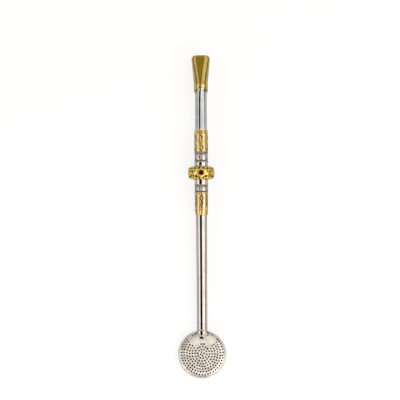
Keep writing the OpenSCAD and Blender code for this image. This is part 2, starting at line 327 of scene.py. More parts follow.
def make_mouthpiece():
    foot, top = stem_span("mouthpiece")
    low, high = front_span("mouthpiece")
    socket = (high - low) / 2
    rings = mouth_rings(foot, top, socket, stem_radius("mouthpiece"))
    piece = start_circle("flared_mouthpiece", socket, foot, 160)
    for last, ring in zip(rings, rings[1:] + rings[:1]):
        last_width, last_depth, last_flat, last_height = last
        half_width, half_depth, half_flat, height = ring
        bpy.ops.mesh.extrude_edges_move()
        part_halves(piece, -last_flat)
        widen = (half_width - half_flat) / (last_width - last_flat)
        bpy.ops.transform.resize(value=(widen, half_depth / last_depth, 1), center_override=(0, 0, 0))
        part_halves(piece, half_flat)
        bpy.ops.transform.translate(value=(0, 0, (height - last_height) * MM))
    close_up()
    end_edit()
    bow_lip(piece, top, stem_radius("mouthpiece"))
    arch_height = 3.6
    cut(piece, rod(socket, 4 * socket, (0, 0, foot + arch_height - socket), (math.pi / 2, 0, 0), 128))
    bevel_edges(piece, width=0.18, angle=55, segments=3)
    smooth(piece, 35)
    lay_on_stem(piece)
    return piece


# Sleeves, bands and beads


def vine_with_bud(across, up):
    """Chased vine of the upper sleeve: an S, a dot, a tendril and a bud at its foot."""
    line_width, belly_width, dot_size = 0.33, 0.46, 0.45
    stem = flowing([(-1.1, 12.9), (-1.05, 11.7), (-0.6, 10.4), (0.3, 9.1), (0.4, 8.2), (-0.2, 7.0)])
    tendril = flowing([(-1.3, 6.9), (-0.65, 5.4), (-0.2, 4.5), (0.6, 3.7), (1.0, 3.1)])
    bud_right = flowing([(1.0, 3.1), (0.9, 2.5), (0.3, 1.3), (-0.2, 0.4)])
    bud_left = flowing([(-0.85, 2.8), (-0.6, 1.5), (-0.2, 0.4)])
    belly = flowing([(0.0, 9.6), (0.35, 8.9), (0.35, 8.1)])
    marks = [near_line(across, up, line, line_width) for line in (stem, tendril, bud_right, bud_left)]
    marks.append(near_line(across, up, belly, belly_width))
    marks.append(near_spot(across, up, (0.55, 6.5), dot_size))
    return np.maximum.reduce(marks)


def vine_of_lozenges(across, up):
    """Chased vine of the lower sleeve: a dot, two lozenges, a dot and a plain line."""
    line_width, dot_size = 0.4, 0.55
    high_left = flowing([(0, 12.4), (-0.85, 11.2), (-0.6, 9.9), (0.15, 8.9)])
    high_right = flowing([(0, 12.4), (0.75, 11.1), (0.6, 10.0), (0.15, 8.9)])
    low_left = flowing([(0.15, 8.9), (-0.5, 7.0), (-0.1, 5.5)])
    low_right = flowing([(0.15, 8.9), (0.55, 7.4), (-0.1, 5.5)])
    foot = flowing([(0, 3.6), (0.1, 2.0), (0, 0)])
    lines = (high_left, high_right, low_left, low_right, foot)
    marks = [near_line(across, up, line, line_width) for line in lines]
    marks += [near_spot(across, up, place, dot_size) for place in ((0, 13.1), (-0.1, 4.9))]
    return np.maximum.reduce(marks)


def sleeve_drawing(vine, start, radius, length):
    lobe_drop, vine_depth, vein_depth, edge_depth = 0.10, 0.24, 0.03, 0.08
    vein_slope, vein_step, vein_width, vein_reach = 0.9, 1.3, 0.14, 1.0
    edge_inset, edge_width = 0.4, 0.16
    # Shares of painted shade in the edge lines and the veins; the vine's lines get it in full
    edge_painted_shade, vein_painted_shade = 0.5, 0.4

    def drawing(angle, height):
        up = height - start
        across = fold(angle) * radius
        from_crest = FOLD / 2 * radius - np.abs(across)
        lobe = lobe_drop * (2 * from_crest / (FOLD * radius)) ** 2
        slant = (up - vein_slope * from_crest) % vein_step - vein_step / 2
        veins = np.exp(-(slant / vein_width) ** 2) * np.exp(-(from_crest / vein_reach) ** 4)
        edges = near_level(up, edge_inset, edge_width) + near_level(up, length - edge_inset, edge_width)
        lines = vine(across, up)
        depth = lobe + vine_depth * lines + vein_depth * veins + edge_depth * edges
        patina_and_painted_shade = np.maximum.reduce([lines, edge_painted_shade * edges, vein_painted_shade * veins])
        return depth * off_ends(up, length), patina_and_painted_shade

    return drawing


def make_sleeve(node, name, fit, nose_on_top, vine):
    start, end = stem_span(node)
    radius = stem_radius(node)
    nose, nose_drop = 3.0, 0.35
    nose_rows, plain_rows = 24, 84
    tip = radius - nose_drop
    if nose_on_top:
        bend, high = (radius, end - nose), (tip, end)
        wall = [*rows((radius, start), bend, plain_rows), *rows(bend, high, nose_rows), high]
    else:
        bend, high = (radius, start + nose), (radius, end)
        wall = [*rows((tip, start), bend, nose_rows), *rows(bend, high, plain_rows), high]
    piece = turned(name, [(fit, start), *wall, (fit, end)], 240)
    chase(piece, lambda r, height: r > (fit + tip) / 2, sleeve_drawing(vine, start, radius, end - start))
    smooth(piece, 60)
    lay_on_stem(piece)
    return piece


def oval_drawing(start, radius, length):
    ground, outline_depth, spray_depth = 0.22, 0.08, 0.16
    half_width, end_margin = 1.85, 0.25
    half_height = length / 2 - end_margin
    flatness, outline_reach, outline_width = 0.35, 1.05, 0.1
    root_across, root_up, spray_lean, spray_width = 0.05, 0.15, 28, 0.34
    # Painted shade, with patina, in the sunk ground, less on the raised sprays where the silver is worn
    ground_patina_and_shade, spray_wear = 0.8, 0.7

    def drawing(angle, height):
        worked = off_ends(height - start, length)
        up = height - start - length / 2
        across = fold(angle - FOLD / 2) * radius
        reach = np.hypot(across / half_width, up / half_height)
        dome = np.clip(1 - reach ** 2, 0, 1) ** flatness
        outline = near_level(reach, outline_reach, outline_width)
        gap = fold(angle) * radius
        sprays = [leaf(gap, up, (side * root_across, lift * root_up), lift * (90 - side * spray_lean),
                       half_height, spray_width)
                  for side in (-1, 1) for lift in (-1, 1)]
        spray = np.maximum.reduce(sprays) * (1 - dome)
        depth = ground * (1 - dome) + outline_depth * outline - spray_depth * spray
        return depth * worked, ground_patina_and_shade * (1 - dome) * (1 - spray_wear * spray)

    return drawing


def make_band(node, name, fit):
    start, end = stem_span(node)
    radius = stem_radius(node)
    wall = rows((radius, start), (radius, end), 44)
    piece = turned(name, [(fit, start), *wall, (radius, end), (fit, end)], 240)
    chase(piece, lambda r, height: r > (fit + radius) / 2, oval_drawing(start, radius, end - start))
    smooth(piece, 60)
    lay_on_stem(piece)
    return piece


def make_rope(node, name, fit):
    """Bead ring of twisted wire."""
    start, end = stem_span(node)
    radius = stem_radius(node)
    half = (end - start) / 2
    # Painted shade, with patina, in the grooves of the twist
    strands, depth, groove_patina_and_shade = 30, 0.2, 0.6
    twist = 1.1
    lean = 2 * math.pi / twist

    def drawing(angle, height):
        groove = np.cos((strands * angle + lean * (height - start)) / 2) ** 6
        return depth * groove, groove_patina_and_shade * groove

    outline = [(fit, start), *arc((radius - half, start + half), half, -90, 90, 14), (fit, end)]
    piece = turned(name, outline, 300)
    chase(piece, lambda r, height: r > radius - half, drawing)
    smooth(piece, 60)
    lay_on_stem(piece)
    return piece


# Ring, setting and stone


def cartouches(angle, height):
    """Pressed ring: a rosette in the middle of each quarter, fans of leaves beside it, and punched pits."""
    # The sunk ground and the pits get painted shade; pit_fill gives the pits their full depth and full
    # shade
    ground, pit_depth, ground_patina_and_shade, pit_fill = 0.24, 0.34, 0.52, 1.7
    quarters = 4
    petal_reach, petal_width, petal_waves = 2.6, 0.42, 6
    boss_size = 1.2
    fan_root, fan_rise = 2.75, 0.25 / 30
    scallop_height, scallop_width, scallop_waves = 3.5, 0.3, 24
    across = fold(angle, quarters) * stem_radius("ring_upper_half")
    side = np.abs(across)
    up = height - RING_MIDDLE
    away = np.hypot(across, up)
    petals = near_level(away, petal_reach, petal_width)
    petals *= 0.35 + 0.65 * np.cos(petal_waves * np.arctan2(up, across)) ** 2
    boss = near_level(away, 0, boss_size)
    fans = [leaf(side, up, (fan_root, fan_rise * lean), lean, length, width) for lean, length, width in (
        (0, 3.9, 0.62), (34, 3.4, 0.72), (-34, 3.4, 0.72), (68, 2.6, 0.6), (-68, 2.6, 0.6))]
    scallops = near_level(np.abs(up), scallop_height, scallop_width)
    scallops *= 0.4 + 0.6 * np.cos(scallop_waves * angle) ** 2
    raised = np.maximum.reduce([petals, boss, scallops, *fans])
    pits = [near_spot(side, up, place, size) for place, size in (
        ((1.35, 3.2), 0.58), ((4.3, 1.15), 0.52), ((4.6, 3.0), 0.56), ((1.35, -3.1), 0.62),
        ((3.25, -2.3), 0.86), ((5.5, -1.9), 0.56), ((6.3, 0.6), 0.5))]
    pit = np.minimum(1, pit_fill * np.maximum.reduce(pits))
    return ground * (1 - raised) + pit_depth * pit, np.maximum(pit, ground_patina_and_shade * (1 - raised))


def make_ring(name):
    """Hollow barrel ring with its chasing and the hole of the setting, before it is parted in halves."""
    radius = stem_radius("ring_upper_half")
    high = stem_span("ring_upper_half")[1] - RING_MIDDLE
    corner, wall, end_margin = 2.5, 0.7, 0.05
    bore = stem_radius("tube_coupling") + SOLDER_GAP
    straight = high - corner
    lower = arc((radius - corner, -straight), corner, -90, 0, 32)
    upper = arc((radius - corner, straight), corner, 0, 90, 32)
    side = rows((radius, -straight), (radius, straight), 28)[1:]
    outline = [(bore, -high), *lower, *side, *upper, (bore, high), (bore, high - wall)]
    outline += arc((radius - corner, straight), corner - wall, 90, 0, 10)
    outline += arc((radius - corner, -straight), corner - wall, 0, -90, 10)
    outline.append((bore, wall - high))
    piece = turned(name, [(r, RING_MIDDLE + up) for r, up in outline], 360)

    def on_wall(r, height):
        over = np.maximum(np.abs(height - RING_MIDDLE) - straight, 0)
        inside = np.maximum(r - (radius - corner), 0)
        return (np.hypot(inside, over) > corner - wall / 2) & (r > radius - corner + end_margin)

    chase(piece, on_wall, cartouches)
    hole = stem_radius("stone_setting") + SOLDER_GAP
    cut(piece, rod(hole, radius, (0, -radius, RING_MIDDLE), (math.pi / 2, 0, 0)))
    return piece


def part_ring(ring, name, rise):
    """Half of the ring, above its middle for a rise of 1 and below it for -1."""
    size = 3 * stem_radius("ring_upper_half")
    half = ring.copy()
    half.data = ring.data.copy()
    half.name = name
    bpy.context.scene.collection.objects.link(half)
    bpy.ops.object.select_all(action="DESELECT")
    bpy.ops.mesh.primitive_cube_add(size=size * MM, location=(0, 0, (RING_MIDDLE - rise * size / 2) * MM))
    cut(half, bpy.context.object)
    smooth(half, 50)
    lay_on_stem(half)
    return half


def make_setting():
    low, high = front_span("stone_setting")
    radius = stem_radius("stone_setting")
    seat = front_span("stone")[0]
    pocket = stem_radius("stone") + SOLDER_GAP
    back_hole, lip = 0.5, 0.12
    # Painted shade in the grooves between the grains
    grains, grain_depth, grain_painted_shade = 16, 0.1, 0.8
    grain_start = seat + 0.1
    pocket_margin = 0.02

    def drawing(angle, height):
        groove = np.cos(grains * angle / 2) ** 2 * (height > grain_start)
        return grain_depth * groove, grain_painted_shade * groove

    outline = [(back_hole, low), *rows((radius, low), (radius, high - lip), 10)]
    outline += arc((radius - lip, high - lip), lip, 0, 90, 5)
    outline += [(pocket, high), (pocket, seat), (back_hole, seat)]
    piece = turned("grained_setting", outline, 192)
    chase(piece, lambda r, height: r > pocket + pocket_margin, drawing)
    smooth(piece, 50)
    apply_place(piece, (0, RING_MIDDLE, 0))
    return piece


def make_stone():
    """Round stone cut in two rows of facets under a flat table."""
    low, high = front_span("stone")
    girdle, crown = 0.42, 0.24
    table = high - low - girdle - crown
    crown_share, table_share = 0.84, 0.72
    sides = 16
    piece = start_circle("cut_stone", stem_radius("stone"), low, sides)
    bpy.ops.mesh.edge_face_add()
    bpy.ops.mesh.extrude_region_move(TRANSFORM_OT_translate={"value": (0, 0, girdle * MM)})
    for share, climb in ((crown_share, crown), (table_share, table)):
        bpy.ops.mesh.extrude_region_move(TRANSFORM_OT_translate={"value": (0, 0, climb * MM)})
        bpy.ops.transform.resize(value=(share, share, 1), center_override=(0, 0, 0))
        bpy.ops.transform.rotate(value=math.pi / sides, orient_axis="Z", center_override=(0, 0, 0))
    close_up()
    bpy.ops.mesh.quads_convert_to_tris()
    end_edit()
    apply_place(piece, (0, RING_MIDDLE, 0))
    return piece


# Screw neck

THREAD_PITCH = 0.75
THREAD_CREST = 2.25
THREAD_ROOT = 1.92
THREAD_GAP = 0.05
BUSH_BORE = THREAD_CREST + THREAD_GAP
# Length of the bush's full diameter, from its outer end into the strainer
NECK_REACH = 3.1


def thread_ridge(root, crest, start, end):
    """Ridge of a right-hand thread between two heights."""
    flank = 0.62 * THREAD_PITCH
    tip = 0.1 * THREAD_PITCH
    bpy.ops.object.select_all(action="DESELECT")
    bpy.ops.mesh.primitive_plane_add(size=1)
    ridge = bpy.context.object
    corners = ((root, 0), (root, flank), (crest, flank / 2 - tip), (crest, flank / 2 + tip))
    for vertex, (radius, height) in zip(ridge.data.vertices, corners):
        vertex.co = Vector((radius, 0, start + height)) * MM
    edit(ridge)
    bpy.ops.mesh.delete(type="ONLY_FACE")
    end_edit()
    turns = int((end - start - flank) / THREAD_PITCH)
    apply_modifier(ridge, "SCREW", axis="Z", angle=2 * math.pi, screw_offset=THREAD_PITCH * MM,
                   iterations=turns, steps=48, render_steps=48)
    edit(ridge)
    bpy.ops.mesh.fill_holes(sides=4)
    close_up()
    end_edit()
    return ridge


def make_stub():
    """Hollow threaded stub with its plug, which is soldered in the lower tube."""
    tip, plug_end = stem_span("threaded_stub")
    plug_start = stem_span("neck_washer")[1]
    plug = stem_radius("threaded_stub")
    bore, chamfer = 1.6, 0.2
    sunk, run_in, run_out = 0.06, 0.15, 0.1
    piece = turned("cut_thread_stub", [
        (bore, tip), (THREAD_ROOT - chamfer, tip), (THREAD_ROOT, tip + chamfer), (THREAD_ROOT, plug_start),
        (plug, plug_start), (plug, plug_end), (bore, plug_end)], 96)
    ridge = thread_ridge(THREAD_ROOT - sunk, THREAD_CREST, tip + run_in, plug_start - run_out)
    cut(piece, ridge, "UNION")
    smooth(piece, 30)
    lay_on_stem(piece)
    return piece


def make_bush():
    """Bush of the strainer's neck, with its thread cut inside."""
    start, end = stem_span("neck_bush")
    radius = stem_radius("neck_bush")
    step = end - NECK_REACH
    spigot_wall, round_edge, chamfer = 0.6, 0.4, 0.15
    spigot = BUSH_BORE + spigot_wall
    overlap, thread_depth, run_out = 0.1, 0.28, 0.3
    outline = [(BUSH_BORE, start), (spigot, start), (spigot, step), (radius, step)]
    outline += arc((radius - round_edge, end - round_edge), round_edge, 0, 90, 8)
    outline += [(BUSH_BORE + chamfer, end), (BUSH_BORE, end - chamfer)]
    piece = turned("threaded_bush", outline, 128)
    cut(piece, thread_ridge(BUSH_BORE - overlap, BUSH_BORE + thread_depth, start + run_out, end - run_out))
    smooth(piece, 30)
    lay_on_stem(piece)
    return piece


# Strainer plates


def hole_places(start_share, side, drills):
    """Places and radii of the holes about the strainer's centre, drilled by hand and so not quite even.
    Each ring starts a share of a step round from the neck, and drifts. The side is -1 on the plate
    that is turned over. The drills are the smallest and the largest radius."""
    rings, first_ring, ring_step, rings_shift = 8, 1.15, 1.66, 0.5
    first_ring_holes, holes_added = 4, 6
    plain_half_angle, whole_rings = 44, 3
    fan_half_angle, fan_rings = 18, 4
    unevenness, ring_drift = 0.12, 0.45
    hand = random.Random(7)
    drifts = [hand.uniform(-ring_drift, ring_drift) for ring in range(rings)]
    for ring, drift in enumerate(drifts):
        count = first_ring_holes + ring * holes_added
        for index in range(count):
            angle = (start_share + drift + index) * 360 / count
            from_neck = abs((angle + 180) % 360 - 180)
            in_fan = ring < fan_rings and from_neck < fan_half_angle
            if from_neck > plain_half_angle or ring < whole_rings or in_fan:
                radius = first_ring + ring * ring_step
                turn = math.radians(angle)
                yield (side * radius * math.sin(turn) + hand.uniform(-unevenness, unevenness),
                       rings_shift + radius * math.cos(turn) + hand.uniform(-unevenness, unevenness),
                       hand.uniform(*drills))


def join(pieces):
    bpy.ops.object.select_all(action="DESELECT")
    for piece in pieces:
        piece.select_set(True)
    bpy.context.view_layer.objects.active = pieces[0]
    bpy.ops.object.join()
    return bpy.context.object


def cut_dark(piece, cutters):
    """Cuts with all the cutters at once, and gives the faces they leave the painted shade of the inside."""
    cutter = join(cutters)
    for finish in piece.data.materials:
        cutter.data.materials.append(finish)
    for face in cutter.data.polygons:
        face.material_index = 1
    cut(piece, cutter)


def ball(centre, half_sizes):
    bpy.ops.object.select_all(action="DESELECT")
    bpy.ops.mesh.primitive_uv_sphere_add(segments=24, ring_count=12, radius=MM)
    piece = bpy.context.object
    piece.scale = half_sizes
    apply_place(piece, centre)
    return piece


PLATE_FLAT = 11.0
PLATE_ROUND = 4.5


def plate_height(radius, tall):
    """Height of a plate's face above its seam, on the flat or on the rounded edge."""
    out = max(radius - PLATE_FLAT, 0)
    return tall - PLATE_ROUND + math.sqrt(PLATE_ROUND ** 2 - out ** 2)


def plate_tall(node):
    low, high = front_span(node)
    return high - low


def make_plate(node, name, finishes, holes):
    """Pressed and drilled plate of the strainer, made with its seam down and its face up.
    Its finishes are that of the outside and the painted shade of the inside and of the holes' walls."""
    radius = stem_radius(node)
    tall = plate_tall(node)
    wall, flat_start, middle = 0.6, 9.5, 0.5
    edge_turn = math.degrees(math.acos((radius - PLATE_FLAT) / PLATE_ROUND))
    outline = rows((radius, 0), (radius, plate_height(radius, tall)), 4)
    outline += arc((PLATE_FLAT, tall - PLATE_ROUND), PLATE_ROUND, edge_turn, 90, 18)
    outline += rows((flat_start, tall), (middle, tall), 6)
    piece = turned(name, outline, 160, closed=False)
    edit(piece)
    bpy.ops.mesh.select_all(action="DESELECT")
    mesh = bmesh.from_edit_mesh(piece.data)
    for edge in mesh.edges:
        if edge.is_boundary and edge.verts[0].co.z > tall / 2 * MM:
            edge.select_set(True)
    bmesh.update_edit_mesh(piece.data)
    bpy.ops.mesh.edge_face_add()
    close_up()
    end_edit()
    for finish in finishes:
        piece.data.materials.append(finish)
    apply_modifier(piece, "SOLIDIFY", thickness=wall * MM, offset=-1, use_even_offset=True,
                   material_offset=1)
    drill_start, drill_length = 1, tall + 1
    drill_middle = drill_start + drill_length / 2
    # The walls of the holes get painted shade
    cut_dark(piece, [rod(drill, drill_length, (x, y, drill_middle), sides=14) for x, y, drill in holes])
    neck = stem_radius("neck_bush") + SOLDER_GAP
    neck_start = stem_span("neck_bush")[1] - NECK_REACH
    neck_length = 6
    cut(piece, rod(neck, neck_length, (0, neck_start + neck_length / 2, 0), (math.pi / 2, 0, 0), 96))
    return piece


def make_front_plate(finishes):
    """Plate with a dent below the neck and stake marks beside it, all with painted shade in them."""
    holes = hole_places(start_share=0, side=1, drills=(0.53, 0.59))
    piece = make_plate("front_strainer", "drilled_front_plate", finishes, holes)
    tall = plate_tall("front_strainer")
    crescent_size, crescent_place, crescent_lean, bow = (1.4, 0.75, 0.55), (-0.4, 10.45, tall), -8, 0.12
    crescent = ball((0, 0, 0), crescent_size)
    for vertex in crescent.data.vertices:
        vertex.co.y -= bow * vertex.co.x ** 2 / MM
    apply_place(crescent, crescent_place, (0, 0, math.radians(crescent_lean)))
    stake_size = (0.5, 0.5, 0.45)
    right_stakes = ((3.4, 13.5), (4.4, 12.9), (3.5, 12.0), (6.1, 12.0))
    left_stakes = ((-3.6, 13.0), (-4.7, 12.3), (-6.0, 11.7))
    stakes = [ball((x, y, plate_height(math.hypot(x, y), tall)), stake_size)
              for x, y in right_stakes + left_stakes]
    # The dent and the stake marks get painted shade inside
    for dent in (crescent, *stakes):
        cut_dark(piece, [dent])
    smooth(piece, 30)
    apply_place(piece, (0, 0, STEM_Z))
    return piece


def make_back_plate(finishes):
    """Plate with narrower holes between those of the front, so that nothing shows through."""
    holes = hole_places(start_share=0.5, side=-1, drills=(0.34, 0.4))
    piece = make_plate("back_strainer", "drilled_back_plate", finishes, holes)
    smooth(piece, 30)
    apply_place(piece, (0, 0, STEM_Z), (0, math.pi, 0))
    return piece


# Finishes


def new_group(name, inputs, outputs):
    group = bpy.data.node_groups.new(name, "ShaderNodeTree")
    for label, kind in inputs:
        group.interface.new_socket(label, in_out="INPUT", socket_type=kind)
    for label, kind in outputs:
        group.interface.new_socket(label, in_out="OUTPUT", socket_type=kind)
    return group, group.nodes.new("NodeGroupInput"), group.nodes.new("NodeGroupOutput")


def add_node(tree, kind, **settings):
    made = tree.nodes.new(kind)
    for name, value in settings.items():
        setattr(made, name, value)
    return made


def noise(tree, place, scale, detail):
    made = tree.nodes.new("ShaderNodeTexNoise")
    made.inputs["Scale"].default_value = scale
    made.inputs["Detail"].default_value = detail
    tree.links.new(place, made.inputs["Vector"])
    return made.outputs["Fac"]


def spread(tree, value, low, high, to_low=0.0, to_high=1.0):
    made = add_node(tree, "ShaderNodeMapRange", interpolation_type="SMOOTHSTEP")
    for label, number in (("From Min", low), ("From Max", high), ("To Min", to_low), ("To Max", to_high)):
        made.inputs[label].default_value = number
    tree.links.new(value, made.inputs["Value"])
    return made.outputs["Result"]


def blend_colours(tree, share, first, second):
    made = add_node(tree, "ShaderNodeMix", data_type="RGBA")
    tree.links.new(share, made.inputs["Factor"])
    for socket, colour in ((made.inputs[6], first), (made.inputs[7], second)):
        if isinstance(colour, tuple):
            socket.default_value = (*colour, 1)
        else:
            tree.links.new(colour, socket)
    return made.outputs[2]


def make_handling_group():
    """Marks of handling: soft clouds, fine lines along the stem, and shallow dents."""
    group, _, out = new_group("handling", (), (
        ("Clouds", "NodeSocketFloat"), ("Lines", "NodeSocketFloat"), ("Dents", "NodeSocketFloat")))
    place = group.nodes.new("ShaderNodeTexCoord").outputs["Object"]
    along = group.nodes.new("ShaderNodeMapping")
    along.inputs["Scale"].default_value = (1, 0.02, 1)
    group.links.new(place, along.inputs["Vector"])
    clouds = spread(group, noise(group, place, 240, 3), 0.35, 0.65)
    lines = spread(group, noise(group, along.outputs["Vector"], 4000, 2), 0.4, 0.7)
    group.links.new(clouds, out.inputs["Clouds"])
    group.links.new(lines, out.inputs["Lines"])
    group.links.new(noise(group, place, 330, 1), out.inputs["Dents"])
    return group


def make_patina_and_painted_shade_group():
    """Painted shade in what is sunk, with a ragged edge; on the engraved silver it also stands for the
    patina in its hollows.
    """
    group, into, out = new_group("patina_and_painted_shade", (
        ("Metal", "NodeSocketColor"), ("Patina_and_painted_shade", "NodeSocketColor")), (
        ("Colour", "NodeSocketColor"), ("Mask", "NodeSocketFloat")))
    place = group.nodes.new("ShaderNodeTexCoord").outputs["Object"]
    recess = add_node(group, "ShaderNodeAttribute", attribute_name="recess").outputs["Fac"]
    ragged = add_node(group, "ShaderNodeMath", operation="MULTIPLY_ADD")
    group.links.new(noise(group, place, 1800, 2), ragged.inputs[0])
    ragged.inputs[1].default_value = 0.3
    group.links.new(recess, ragged.inputs[2])
    mask = spread(group, ragged.outputs["Value"], 0.45, 0.95)
    colour = blend_colours(group, mask, into.outputs["Metal"], into.outputs["Patina_and_painted_shade"])
    group.links.new(colour, out.inputs["Colour"])
    group.links.new(mask, out.inputs["Mask"])
    return group


# Share of the light that a metal still throws back where it turns away from the eye
EDGE_TINT = (0.4, 0.38, 0.36)

HANDLING = make_handling_group()
PATINA_AND_PAINTED_SHADE = make_patina_and_painted_shade_group()


def new_finish(name):
    material = bpy.data.materials.new(name)
    material.use_nodes = True
    tree = material.node_tree
    return material, tree, tree.nodes["Principled BSDF"]


def use_group(tree, group):
    made = tree.nodes.new("ShaderNodeGroup")
    made.node_tree = group
    return made


def bump(tree, shader, height, depth):
    made = tree.nodes.new("ShaderNodeBump")
    made.inputs["Distance"].default_value = depth * MM
    tree.links.new(height, made.inputs["Height"])
    tree.links.new(made.outputs["Normal"], shader.inputs["Normal"])


def polished(name, bright, dull, smoothest, roughest, dent_depth):
    """Polished metal with clouds, fine lines and shallow dents of handling."""
    material, tree, shader = new_finish(name)
    marks = use_group(tree, HANDLING)
    shader.inputs["Metallic"].default_value = 1.0
    shader.inputs["Specular Tint"].default_value = (*EDGE_TINT, 1)
    tree.links.new(blend_colours(tree, marks.outputs["Clouds"], bright, dull), shader.inputs["Base Color"])
    roughness = spread(tree, marks.outputs["Lines"], 0, 1, smoothest, roughest)
    tree.links.new(roughness, shader.inputs["Roughness"])
    bump(tree, shader, marks.outputs["Dents"], dent_depth)
    return material


def chased(name, bright, dull, patina_and_painted_shade, smoothest, dent_depth):
    """Chased metal, worn bright on what stands out, with painted shade in what is sunk, which on the silver
    is also its patina.
    """
    roughness_where_sunk = 0.5
    material, tree, shader = new_finish(name)
    marks = use_group(tree, HANDLING)
    patina_and_shade_fill = use_group(tree, PATINA_AND_PAINTED_SHADE)
    shader.inputs["Metallic"].default_value = 1.0
    shader.inputs["Specular Tint"].default_value = (*EDGE_TINT, 1)
    tree.links.new(blend_colours(tree, marks.outputs["Clouds"], bright, dull), patina_and_shade_fill.inputs["Metal"])
    patina_and_shade_fill.inputs["Patina_and_painted_shade"].default_value = (*patina_and_painted_shade, 1)
    tree.links.new(patina_and_shade_fill.outputs["Colour"], shader.inputs["Base Color"])
    roughness = spread(tree, patina_and_shade_fill.outputs["Mask"], 0, 1, smoothest, roughness_where_sunk)
    tree.links.new(roughness, shader.inputs["Roughness"])
    bump(tree, shader, marks.outputs["Dents"], dent_depth)
    return material


def satin(name, bright, dull, smoothest, roughest):
    """Metal rubbed to a satin face."""
    grain_depth = 0.012
    material, tree, shader = new_finish(name)
    marks = use_group(tree, HANDLING)
    place = tree.nodes.new("ShaderNodeTexCoord").outputs["Object"]
    shader.inputs["Metallic"].default_value = 1.0
    tree.links.new(blend_colours(tree, marks.outputs["Clouds"], bright, dull), shader.inputs["Base Color"])
    grain = noise(tree, place, 2600, 3)
    tree.links.new(spread(tree, grain, 0.3, 0.7, smoothest, roughest), shader.inputs["Roughness"])
    bump(tree, shader, grain, grain_depth)
    return material


def cut_gem(name, lit, deep):
    material, tree, shader = new_finish(name)
    place = tree.nodes.new("ShaderNodeTexCoord").outputs["Object"]
    cloud = spread(tree, noise(tree, place, 900, 2), 0.35, 0.65)
    tree.links.new(blend_colours(tree, cloud, lit, deep), shader.inputs["Base Color"])
    shader.inputs["Roughness"].default_value = 0.12
    shader.inputs["IOR"].default_value = 1.76
    shader.inputs["Specular IOR Level"].default_value = 0.03
    return material


def rubber(name, pale, dark):
    material, tree, shader = new_finish(name)
    place = tree.nodes.new("ShaderNodeTexCoord").outputs["Object"]
    grain = noise(tree, place, 3000, 3)
    tree.links.new(blend_colours(tree, grain, pale, dark), shader.inputs["Base Color"])
    shader.inputs["Roughness"].default_value = 0.6
    bump(tree, shader, grain, 0.01)
    return material


warm_silver = polished("polished_silver", (0.54, 0.50, 0.47), (0.48, 0.44, 0.41), 0.04, 0.09, 0.010)
cool_silver = polished("upper_silver", (0.51, 0.51, 0.50), (0.44, 0.45, 0.45), 0.04, 0.09, 0.010)
wavy_silver = polished("collar_silver", (0.57, 0.52, 0.46), (0.49, 0.44, 0.38), 0.04, 0.10, 0.06)
# The third colour of each chased finish is painted shade in what is sunk; on the engraved silver it is also
# patina.
engraved_silver = chased("engraved_silver", (0.55, 0.51, 0.48), (0.45, 0.41, 0.38), (0.18, 0.155, 0.135),
                         0.2, 0.02)
satin_silver = satin("satin_silver", (0.79, 0.74, 0.68), (0.62, 0.575, 0.525), 0.36, 0.54)
# Near-black painted shade for the inside of the strainer, the walls of its holes, its dent and its stake
# marks
hollow_painted_shade = satin("painted_shade_in_hollows", (0.045, 0.027, 0.015), (0.027, 0.016, 0.009), 0.5, 0.75)
gold = polished("polished_gold", (0.57, 0.43, 0.15), (0.50, 0.37, 0.115), 0.06, 0.14, 0.012)
chased_gold = chased("chased_gold", (0.74, 0.56, 0.28), (0.66, 0.465, 0.20), (0.045, 0.02, 0.004),
                     0.26, 0.03)
ring_gold = chased("ring_gold", (0.90, 0.69, 0.23), (0.71, 0.49, 0.12), (0.03, 0.016, 0.001), 0.15, 0.03)
brass = polished("turned_brass", (0.55, 0.42, 0.17), (0.45, 0.33, 0.12), 0.18, 0.32, 0.006)
red_stone = cut_gem("red_stone", (0.08, 0.004, 0.001), (0.045, 0.002, 0.001))
washer_rubber = rubber("seal", (0.62, 0.60, 0.57), (0.46, 0.44, 0.42))


def finish_node(node, material):
    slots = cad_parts[node].data.materials
    slots.clear()
    slots.append(material)


def dress(piece, node, body, material=None):
    if material:
        piece.data.materials.clear()
        piece.data.materials.append(material)
    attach(piece, body)
    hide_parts(node)


def make_stem():
    dress(make_mouthpiece(), "mouthpiece", "stem", gold)
    dress(make_sleeve("upper_sleeve", "upper_chased_sleeve", UPPER_FIT, True, vine_with_bud),
          "upper_sleeve", "stem", chased_gold)
    dress(make_sleeve("lower_sleeve", "lower_chased_sleeve", LOWER_FIT, False, vine_of_lozenges),
          "lower_sleeve", "stem", chased_gold)
    for level, fit in (("upper", UPPER_FIT), ("lower", LOWER_FIT)):
        band = f"{level}_band"
        dress(make_band(band, f"{level}_oval_band", fit), band, "stem", engraved_silver)
        for edge in ("top", "bottom"):
            bead = f"{level}_band_{edge}_bead"
            rope = make_rope(bead, f"{level}_{edge}_rope", fit)
            dress(rope, bead, "stem", engraved_silver)
    ring = make_ring("barrel_ring")
    for half, name, rise in (("ring_upper_half", "pressed_ring_top", 1),
                             ("ring_lower_half", "pressed_ring_bottom", -1)):
        dress(part_ring(ring, name, rise), half, "stem", ring_gold)
    bpy.data.objects.remove(ring)
    dress(make_setting(), "stone_setting", "stem", ring_gold)
    dress(make_stone(), "stone", "stem", red_stone)
    dress(make_stub(), "threaded_stub", "stem", brass)


def make_strainer():
    dress(make_bush(), "neck_bush", "strainer", warm_silver)
    dress(make_front_plate((satin_silver, hollow_painted_shade)), "front_strainer", "strainer")
    dress(make_back_plate((satin_silver, hollow_painted_shade)), "back_strainer", "strainer")


def finish_plain_nodes():
    finish_node("lower_tube", warm_silver)
    finish_node("upper_tube", cool_silver)
    finish_node("lower_collar", wavy_silver)
    finish_node("upper_collar", wavy_silver)
    finish_node("rim_band", satin_silver)
    finish_node("tube_coupling", brass)
    finish_node("neck_washer", washer_rubber)


make_stem()
make_strainer()
finish_plain_nodes()


# Floor, light and camera

